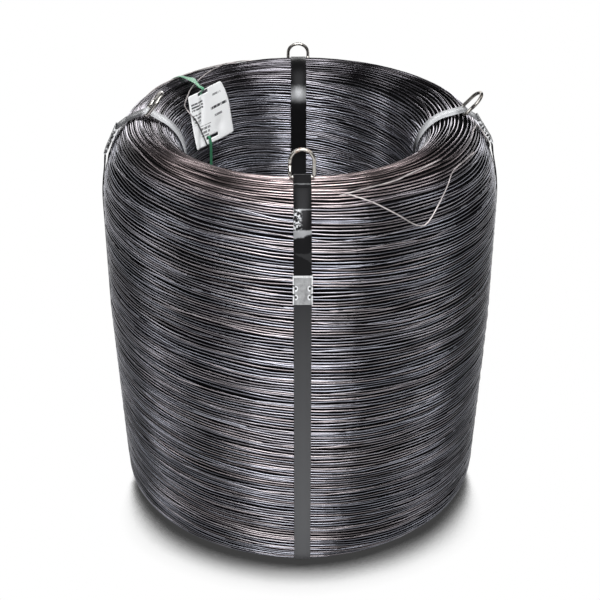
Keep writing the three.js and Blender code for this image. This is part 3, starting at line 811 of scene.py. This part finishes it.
def wound_wire_tree():
    """Geometry nodes that wind one wire round the axis while it climbs along an outline.

    The outline is a line of edges in the XZ plane. Each turn strays along the surface and
    sinks below it by noise that runs on smoothly from one turn to the next."""
    group = bpy.data.node_groups.new("wound_wire", "GeometryNodeTree")
    sockets = {
        "Geometry": ("Outline",),
        "Int": ("Turn points", "Wire sides"),
        "Float": (
            "First turn", "Turns", "All turns", "Outline length", "Spread", "Wire radius",
            "Wander", "Wander change", "Drift", "Waver", "Tilt", "Depth", "Sink", "Darkness",
            "Seed",
        ),
        "Material": ("Material",),
    }
    for kind, names in sockets.items():
        for name in names:
            group.interface.new_socket(name, in_out="INPUT", socket_type=f"NodeSocket{kind}")
    group.interface.new_socket("Wire", in_out="OUTPUT", socket_type="NodeSocketGeometry")
    tree = Tree(group)
    entry = tree.node("NodeGroupInput").pick
    outline = tree.node("GeometryNodeMeshToCurve", inputs={"Mesh": entry("Outline")})
    count = entry("Turns") * entry("Turn points") + 1.0
    line = tree.node("GeometryNodeCurvePrimitiveLine")
    wire = tree.node("GeometryNodeResampleCurve", inputs={"Curve": line, "Count": count})
    index = tree.node("GeometryNodeInputIndex")
    turn = index / entry("Turn points") + entry("First turn")
    angle = turn * TAU
    cosine, sine = angle.math("COSINE"), angle.math("SINE")
    share = turn / entry("All turns")
    share = share + (share * TAU).math("SINE") * entry("Spread") * (1 / TAU)

    def on_outline(factor):
        """Where the outline is at a share of its length, as its place and its direction."""
        settings = {"mode": "FACTOR", "use_all_curves": True}
        inputs = {"Curves": outline, "Factor": factor}
        sample = tree.node("GeometryNodeSampleCurve", settings, inputs, output="Position")
        return tree.axes(sample), tree.axes(sample.pick("Tangent"))

    def unevenness(waves, mix, seed):
        """Noise from -1 to 1, with more waves round a turn as waves rises."""
        vector = tree.vector(cosine * waves, sine * waves, turn * mix + entry("Seed") + seed)
        return (tree.noise(vector, 1.0, 1.0) - 0.5) * 2.4

    stray = unevenness(1.5, entry("Wander change"), 0.0) * entry("Wander")
    stray = stray + unevenness(2.4, 0.45, 40.0) * entry("Drift")
    level = on_outline(share)[1][2]
    ripple = (level.math("ABSOLUTE") * 0.85 + 0.15) * entry("Waver")
    stray = stray + unevenness(8.0, 1.9, 80.0) * ripple
    stray = stray + unevenness(24.0, 2.7, 160.0) * ripple * 0.8
    stray = stray + cosine * level * entry("Tilt")
    share = (share + stray / entry("Outline length")).math("FRACT")
    (reach, _, height), (climb_r, _, climb_z) = on_outline(share)
    low = unevenness(2.6, 1.3, 120.0).between(-0.2, 0.9)
    depth = low * entry("Sink") + entry("Wire radius") + entry("Depth")
    depth = depth + (unevenness(16.0, 2.9, 200.0) + 1.2) * ripple * 0.8
    reach = reach - climb_z * depth
    place = tree.vector(reach * cosine, reach * sine, height + climb_r * depth)
    wire = tree.node("GeometryNodeSetPosition", inputs={"Geometry": wire, "Position": place})
    # The sunk attribute carries painted shade to the material: more for a turn that lies deeper,
    # and as much as Darkness gives.
    sunk = low * 0.45 + entry("Darkness")
    for name, value in (("turn", turn + entry("Seed")), ("sunk", sunk)):
        settings = {"data_type": "FLOAT", "domain": "POINT"}
        inputs = {"Geometry": wire, "Name": name, "Value": value}
        wire = tree.node("GeometryNodeStoreNamedAttribute", settings, inputs)
    wire = tree.node("GeometryNodeSetCurveNormal", {"mode": "Z_UP"}, {"Curve": wire})
    ring = tree.node(
        "GeometryNodeCurvePrimitiveCircle",
        inputs={"Resolution": entry("Wire sides"), "Radius": entry("Wire radius")},
    )
    inputs = {"Curve": wire, "Profile Curve": ring, "Fill Caps": True}
    tube = tree.node("GeometryNodeCurveToMesh", inputs=inputs)
    tube = tree.node("GeometryNodeSetShadeSmooth", inputs={"Geometry": tube})
    solid = tree.node("GeometryNodeRealizeInstances", inputs={"Geometry": tube})
    inputs = {"Geometry": solid, "Material": entry("Material")}
    dressed = tree.node("GeometryNodeSetMaterial", inputs=inputs)
    tree.node("NodeGroupOutput", inputs={"Wire": dressed})
    return group


def run_nodes(name, mesh, group, values):
    """Runs a geometry tree on a mesh and gives the result as a plain mesh."""
    holder = bpy.data.objects.new(name, mesh)
    bpy.context.scene.collection.objects.link(holder)
    modifier = holder.modifiers.new(name, "NODES")
    modifier.node_group = group
    for item in group.interface.items_tree:
        if item.in_out == "INPUT" and item.name in values:
            modifier[item.identifier] = values[item.name]
    bpy.context.view_layer.update()
    evaluated = holder.evaluated_get(bpy.context.evaluated_depsgraph_get())
    result = bpy.data.meshes.new_from_object(evaluated)
    result.name = name
    holder.modifiers.remove(modifier)
    bpy.data.objects.remove(holder)
    return result


def outline_mesh(edge):
    """The closed edge as a line of mesh edges in the XZ plane."""
    points = [(p.x, 0, p.y) for p in (*edge, edge[0])]
    mesh = bpy.data.meshes.new("outline")
    mesh.from_pydata(points, [(i, i + 1) for i in range(len(edge))], [])
    return mesh


class WIRECOIL_OT_winding(bpy.types.Operator):
    """Winds the turns of wire round a dark core"""

    bl_idname = "wirecoil.winding"
    bl_label = "Winding"

    def execute(self, context):
        s, colours = given(context)
        wire = wire_finish(colours)
        edge = section_edge(s, SECTION_STEPS)
        group = wound_wire_tree()
        main = {
            "Turns": s.turns / len(MAIN_TURNS), "All turns": float(s.turns),
            "Outline length": loop_length(edge), "Spread": s.spread, "Wire radius": s.wire / 2,
            "Wire sides": 4, "Turn points": s.turn_points, "Wander": s.wander,
            "Wander change": 0.14, "Drift": s.drift, "Waver": s.waver, "Tilt": s.tilt,
            "Sink": s.sink, "Depth": s.layer, "Darkness": 0.0, "Seed": MAIN_SEED,
            "Material": wire,
        }
        windings = {}
        for i, name in enumerate(MAIN_TURNS):
            windings[name] = main | {"First turn": i * main["Turns"]}
        windings["stray_turns"] = main | {
            "First turn": 0.0, "Turns": float(s.stray_turns), "All turns": float(s.stray_turns),
            "Turn points": 176, "Wander": s.stray_wander, "Wander change": 1.7, "Drift": 0.0,
            "Waver": 1.6 * s.waver, "Sink": 0.0, "Depth": 0.0, "Darkness": 0.1, "Seed": STRAY_SEED,
        }
        # The under turns are painted black as the shade they lie in.
        windings["under_turns"] = main | {
            "First turn": 0.5, "Turns": s.turns - 1.0, "Turn points": 64, "Wire sides": 3,
            "Depth": s.layer + 0.8 * s.wire, "Darkness": 1.0,
        }
        for name, values in windings.items():
            mesh = run_nodes(name, outline_mesh(edge), group, values)
            add_piece(name, mesh, wire, ("wire_coil",) if name == MAIN_TURNS[0] else ())
        # The core under the turns, painted near black as shade.
        core = offset_line(edge, -(s.layer + s.sink + s.wire), closed=True)
        mesh = turned_mesh("buried_turns", core, CORE_SEGMENTS)
        add_piece("buried_turns", mesh, core_finish())
        return {"FINISHED"}


# ---------------- straps and seals


def seated_edge(s, width):
    """Where a band of this width lies on the winding, with more room in the bore."""
    sag = width**2 / (8 * s.bore_radius) + 0.22 * MM
    edge = section_edge(s, STRAP_STEPS)
    return offset_line(edge, lambda side: 1.5 * s.seat + sag * max(0.0, -side.x), closed=True)


def bar_centre(s, radius):
    point, normal = crest_point(s, radius)
    return point + normal * (s.ring_rod / 2 + s.seat)


def seal_frame(s, seal_height):
    """The point of the winding under a seal's middle, and its out and along directions."""
    point, out = outer_point(s, seal_height)
    return point, out, Vector((-out.y, out.x))


def strap_path(s, bar_radius, seal_height, tail):
    """The inner face of one strip: once round, then its tail over its start."""
    reach = s.ring_rod / 2 + 2 * s.seat
    bar = arc(bar_centre(s, bar_radius), (reach, reach), 0, BAR_STEPS, 180)
    point, out, along = seal_frame(s, seal_height)
    floor = point + out * (2 * s.seat + s.seal_wall)
    lower = floor - along * (s.seal_length / 2)
    upper = floor + along * (s.seal_length / 2)
    loop = taut_loop([*seated_edge(s, s.strap_width), *bar, lower, upper])
    first = loop.index(lower)
    loop = loop[first:] + loop[:first]
    around = loop_length(loop)
    lower_layer = walk(loop, -STRAP_LEAD, around - STRAP_LEAD - STRAP_RAMP)
    upper_layer = walk(loop, -STRAP_LEAD, s.seal_length + tail)
    return [*lower_layer, *offset_line(upper_layer, s.strap_thickness + s.seat)]


def band_mesh(name, path, width, thickness, azimuth):
    """A flat band along a path in the section, with its edges eased."""
    ease = thickness * 0.3
    corners = ((0, ease), (ease, 0), (thickness - ease, 0), (thickness, ease))
    edges = [(offset_line(path, depth), width / 2 - inset) for depth, inset in corners]
    edges += [(line, -side) for line, side in edges[::-1]]
    turn = Matrix.Rotation(math.radians(azimuth), 4, "Z")
    rings = []
    for i in range(len(path)):
        rings.append([turn @ Vector((line[i].x, side, line[i].y)) for line, side in edges])
    return ring_mesh(name, rings)


class WIRECOIL_OT_straps(bpy.types.Operator):
    """Ties the winding with four steel straps"""

    bl_idname = "wirecoil.straps"
    bl_label = "Steel straps"

    def execute(self, context):
        s, colours = given(context)
        for side, azimuth, ring_share, _, seal_share, tail in TIES:
            seal_height = s.crest_height - seal_share * s.outer_drop
            path = strap_path(s, ring_radius(s, ring_share), seal_height, tail)
            varnish = strap_finish(colours, side, seal_height)
            name = f"{side}_strap_strip"
            mesh = band_mesh(name, path, s.strap_width, s.strap_thickness, azimuth)
            add_piece(name, mesh, varnish, (f"{side}_strap",))
        return {"FINISHED"}


class WIRECOIL_OT_seals(bpy.types.Operator):
    """Gives the crimped seals their zinc"""

    bl_idname = "wirecoil.seals"
    bl_label = "Seals"

    def execute(self, context):
        s, colours = given(context)
        for side, azimuth, _, _, seal_share, _ in TIES:
            point, _, along = seal_frame(s, s.crest_height - seal_share * s.outer_drop)
            turn = Matrix.Rotation(math.radians(azimuth), 3, "Z")
            middle = turn @ Vector((point.x, 0, point.y))
            across, upward = turn @ Vector((0, 1, 0)), turn @ Vector((along.x, 0, along.y))
            half_width, half_length = s.strap_width / 2 + s.seal_wall, s.seal_length / 2
            zinc = seal_finish(colours, side, middle, across, upward, half_width, half_length)
            refinish(f"{side}_seal", zinc)
        return {"FINISHED"}


# ---------------- lifting rings


class WIRECOIL_OT_rings(bpy.types.Operator):
    """Bends the four lifting rings"""

    bl_idname = "wirecoil.rings"
    bl_label = "Lifting rings"

    def execute(self, context):
        s, colours = given(context)
        steel = rod_finish(colours)
        for side, azimuth, ring_share, lean, *_ in TIES:
            half = s.strap_width / 2 + RING_ROOM + s.ring_rod / 2
            corner = (RING_CORNER, RING_CORNER)
            flat = [
                Vector((-half, RING_JOINT - RING_JOINT_GAP / 2)),
                *arc((RING_CORNER - half, RING_CORNER), corner, 180, 8),
                *arc((half - RING_CORNER, RING_CORNER), corner, 270, 8),
                *arc((0, s.ring_height - s.ring_rod - half), (half, half), 0, 32, 180),
                Vector((-half, RING_JOINT + RING_JOINT_GAP / 2)),
            ]
            bar = bar_centre(s, ring_radius(s, ring_share))
            place = (
                Matrix.Rotation(math.radians(azimuth), 4, "Z")
                @ Matrix.Translation((bar.x, 0, bar.y))
                @ Matrix.Rotation(math.radians(lean), 4, "Y")
            )
            points = [place @ Vector((0, p.x, p.y)) for p in flat]
            name = f"{side}_lifting_ring_rod"
            mesh = swept_mesh(name, points, s.ring_rod / 2, ROD_SIDES)
            add_piece(name, mesh, steel, (f"{side}_lifting_ring",))
        return {"FINISHED"}


# ---------------- tag


def spread(low, high, cuts, step):
    """Numbers from low to high that include the cuts, no farther apart than the step."""
    marks = sorted({low, high, *cuts})
    values = []
    for a, b in zip(marks, marks[1:]):
        count = max(1, math.ceil((b - a) / step))
        values += [a + (b - a) * i / count for i in range(count)]
    return [*values, high]


def tag_bend(s, x, y):
    """Where a point of the flat tag comes to lie: one corner rolled back, the sheet dented."""
    half = s.tag_width / 2
    high = max(0.0, (y / s.tag_height - 0.45) / 0.55) ** 2
    right = max(0.0, min(1.0, (x / half + 0.2) / 1.2))
    right = right * right * (3 - 2 * right)
    low_left = max(0.0, -x / half - 0.2) * max(0.0, 1 - y / s.tag_height)
    front = -0.0035 * high * right - 0.0012 * low_left
    front -= 0.0022 * math.exp(-((x - 0.022) ** 2 + (y - 0.030) ** 2) / 0.013**2)
    front -= 0.0016 * math.exp(-((x + 0.032 - 0.25 * (y - 0.06)) / 0.006) ** 2)
    front += 0.0010 * math.exp(-((x + 0.044 - 0.25 * (y - 0.06)) / 0.007) ** 2)
    front += 0.0009 * math.sin(x * 60 + y * 35)
    return Vector((x - 0.0135 * high * right, y, front))


def tag_sheet(s):
    """The vertices and faces of the bent tag with its two slots, as (across, up, front)."""
    half = s.tag_width / 2
    reach_x, reach_y = s.slot_length / 2, s.slot_width / 2
    slots = [(x - reach_x, x + reach_x, y - reach_y, y + reach_y) for x, y in TAG_SLOTS]
    xs = spread(-half, half, [v for slot in slots for v in slot[:2]], TAG_CELL)
    ys = spread(0.0, s.tag_height, [v for slot in slots for v in slot[2:]], TAG_CELL)
    vertices, index, faces = [], {}, []

    def vertex(i, j, layer):
        if (i, j, layer) not in index:
            x, y = xs[i], ys[j]
            inner_x = max(TAG_CORNER - half, min(half - TAG_CORNER, x))
            inner_y = max(TAG_CORNER, min(s.tag_height - TAG_CORNER, y))
            offset = Vector((x - inner_x, y - inner_y))
            longest = max(abs(offset.x), abs(offset.y))
            if offset.length > 0:
                offset *= longest / offset.length
            place = tag_bend(s, inner_x + offset.x, inner_y + offset.y)
            place.z += (0.5 if layer else -0.5) * s.tag_thickness
            index[i, j, layer] = len(vertices)
            vertices.append(place)
        return index[i, j, layer]

    cells = set()
    for i in range(len(xs) - 1):
        for j in range(len(ys) - 1):
            x, y = (xs[i] + xs[i + 1]) / 2, (ys[j] + ys[j + 1]) / 2
            if not any(a < x < b and c < y < d for a, b, c, d in slots):
                cells.add((i, j))
    for i, j in sorted(cells):
        around = ((i, j), (i + 1, j), (i + 1, j + 1), (i, j + 1))
        faces.append([vertex(*c, 1) for c in around])
        faces.append([vertex(*c, 0) for c in around[::-1]])
        beside = ((i, j - 1), (i + 1, j), (i, j + 1), (i - 1, j))
        for k, cell in enumerate(beside):
            if cell not in cells:
                a, b = around[k], around[(k + 1) % 4]
                faces.append([vertex(*a, 1), vertex(*a, 0), vertex(*b, 0), vertex(*b, 1)])
    return vertices, faces


class WIRECOIL_OT_tag(bpy.types.Operator):
    """Hangs the bent tag on its plastic strap"""

    bl_idname = "wirecoil.tag"
    bl_label = "Tag"

    def execute(self, context):
        s, colours = given(context)
        foot = turned(s.tag_radius, TAG_AZIMUTH, s.crest_height - s.tag_drop)
        across = turned(1, TAG_AZIMUTH - 90, 0)
        lean = math.radians(TAG_LEAN)
        up = turned(math.sin(lean), TAG_AZIMUTH, math.cos(lean))
        front = across.cross(up)
        sheet = tag_sheet(s)
        vertices = [foot + across * p.x + up * p.y + front * p.z for p in sheet[0]]
        mesh = mesh_from("tag_sheet", vertices, sheet[1])
        add_piece("tag_sheet", mesh, paper_finish(colours, foot, across, up), ("tag",))
        refinish("tag_strap", tape_finish(colours))
        return {"FINISHED"}


class WIRECOIL_OT_loose_wire(bpy.types.Operator):
    """Lays the wire that has sprung out of the winding"""

    bl_idname = "wirecoil.loose_wire"
    bl_label = "Loose wire"

    def execute(self, context):
        s, colours = given(context)
        wire = loose_wire_finish(colours, "loose_wire", 0.3)
        refinish("loose_front_loop", wire)
        refinish("inner_wire_end", loose_wire_finish(colours, "inner_wire", 0.785))
        for name, lift, marks in SPRUNG_TURNS:
            points = []
            for azimuth, share, above in marks:
                point, out = outer_point(s, s.crest_height - share * s.outer_drop)
                place = point + out * (lift + above)
                points.append(turned(place.x, azimuth, place.y))
            mesh = swept_mesh(name, smooth_curve(points, 6 * MM), s.loose / 2, LOOSE_SIDES)
            add_piece(name, mesh, wire)
        return {"FINISHED"}


# ---------------- stage


def studio_world():
    """A world that gives faint light and is white to the camera."""
    world = bpy.data.worlds.new("studio")
    world.use_nodes = True
    world.node_tree.nodes.clear()
    tree = Tree(world.node_tree)
    glow = tree.node("ShaderNodeLightPath", output="Is Camera Ray") * 0.97 + 0.03
    sky = tree.node("ShaderNodeBackground", inputs={"Color": (1, 1, 1, 1), "Strength": glow})
    tree.node("ShaderNodeOutputWorld", inputs={"Surface": sky})
    return world


def floor_finish():
    """Matt floor that looks white, darkened under the coil and more widely in front of it."""
    material, tree = new_material("floor")
    rays = tree.node("ShaderNodeLightPath", output="Is Camera Ray")
    seen = rays.math("MAXIMUM", rays.pick("Is Glossy Ray"))
    seen = seen.math("MAXIMUM", rays.pick("Is Transmission Ray"))
    # Painted shadow: near the coil the floor's white glow is dimmed by ambient occlusion, over a
    # reach that grows towards the front.
    reach = tree.place()[2].between(-0.02, -0.34) * 0.09 + 0.01
    contact = tree.node("ShaderNodeAmbientOcclusion", {"samples": 8}, {"Distance": reach}, "AO")
    glow = contact.between(0.50, 0.965) * 0.95 + 0.05
    matt = tree.node("ShaderNodeBsdfDiffuse", inputs={"Color": (0.8, 0.8, 0.8, 1)})
    white = tree.node("ShaderNodeEmission", inputs={"Color": (1, 1, 1, 1), "Strength": glow})
    shader = tree.node("ShaderNodeMixShader", inputs={0: seen, 1: matt, 2: white})
    tree.node("ShaderNodeOutputMaterial", inputs={"Surface": shader})
    return material


class WIRECOIL_OT_stage(bpy.types.Operator):
    """Sets up the floor, the light and the camera"""

    bl_idname = "wirecoil.stage"
    bl_label = "Stage"

    def execute(self, context):
        scene = context.scene
        scene.view_settings.view_transform = "Standard"
        scene.world = studio_world()

        bpy.ops.mesh.primitive_plane_add(size=30, location=(0, 0, 0))
        floor = context.object
        floor.name = "floor"
        floor.data.materials.append(floor_finish())

        for name, (power, place, width, depth) in LAMPS.items():
            light = bpy.data.lights.new(name, "AREA")
            light.energy = power
            light.shape = "RECTANGLE"
            light.size, light.size_y = width, depth
            lamp = bpy.data.objects.new(name, light)
            lamp.location = place
            lamp.rotation_euler = (LAMP_TARGET - lamp.location).to_track_quat("-Z", "Y").to_euler()
            scene.collection.objects.link(lamp)

        camera = bpy.data.cameras.new("camera")
        camera.lens = CAMERA_FOCUS * camera.sensor_width
        viewer = bpy.data.objects.new("camera", camera)
        viewer.location = turned(CAMERA_DISTANCE, CAMERA_AZIMUTH, CAMERA_HEIGHT)
        turn = math.radians(CAMERA_AZIMUTH + 90)
        viewer.rotation_euler = (math.radians(90 - CAMERA_PITCH), 0, turn)
        scene.collection.objects.link(viewer)
        scene.camera = viewer
        return {"FINISHED"}


class WIRECOIL_PT_panel(bpy.types.Panel):
    """Lists the coil's pieces in the sidebar"""

    bl_idname = "WIRECOIL_PT_panel"
    bl_label = "Wire Coil"
    bl_space_type = "VIEW_3D"
    bl_region_type = "UI"
    bl_category = "Wire Coil"

    def draw(self, context):
        for group in given(context):
            box = self.layout.box()
            for name in group.__annotations__:
                box.prop(group, name)
        for operator in OPERATORS:
            self.layout.operator(operator.bl_idname)


OPERATORS = (
    WIRECOIL_OT_winding,
    WIRECOIL_OT_straps,
    WIRECOIL_OT_seals,
    WIRECOIL_OT_rings,
    WIRECOIL_OT_tag,
    WIRECOIL_OT_loose_wire,
    WIRECOIL_OT_stage,
)
CLASSES = (WireCoilSizes, WireCoilColours, *OPERATORS, WIRECOIL_PT_panel)


def register():
    for cls in CLASSES:
        bpy.utils.register_class(cls)
    bpy.types.Scene.wire_coil_sizes = PointerProperty(type=WireCoilSizes)
    bpy.types.Scene.wire_coil_colours = PointerProperty(type=WireCoilColours)


def unregister():
    del bpy.types.Scene.wire_coil_colours
    del bpy.types.Scene.wire_coil_sizes
    for cls in reversed(CLASSES):
        bpy.utils.unregister_class(cls)


def main():
    """Registers the add-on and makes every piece."""
    register()
    for operator in OPERATORS:
        group, name = operator.bl_idname.split(".")
        getattr(getattr(bpy.ops, group), name)()
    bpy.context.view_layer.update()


if __name__ == "__main__":
    main()
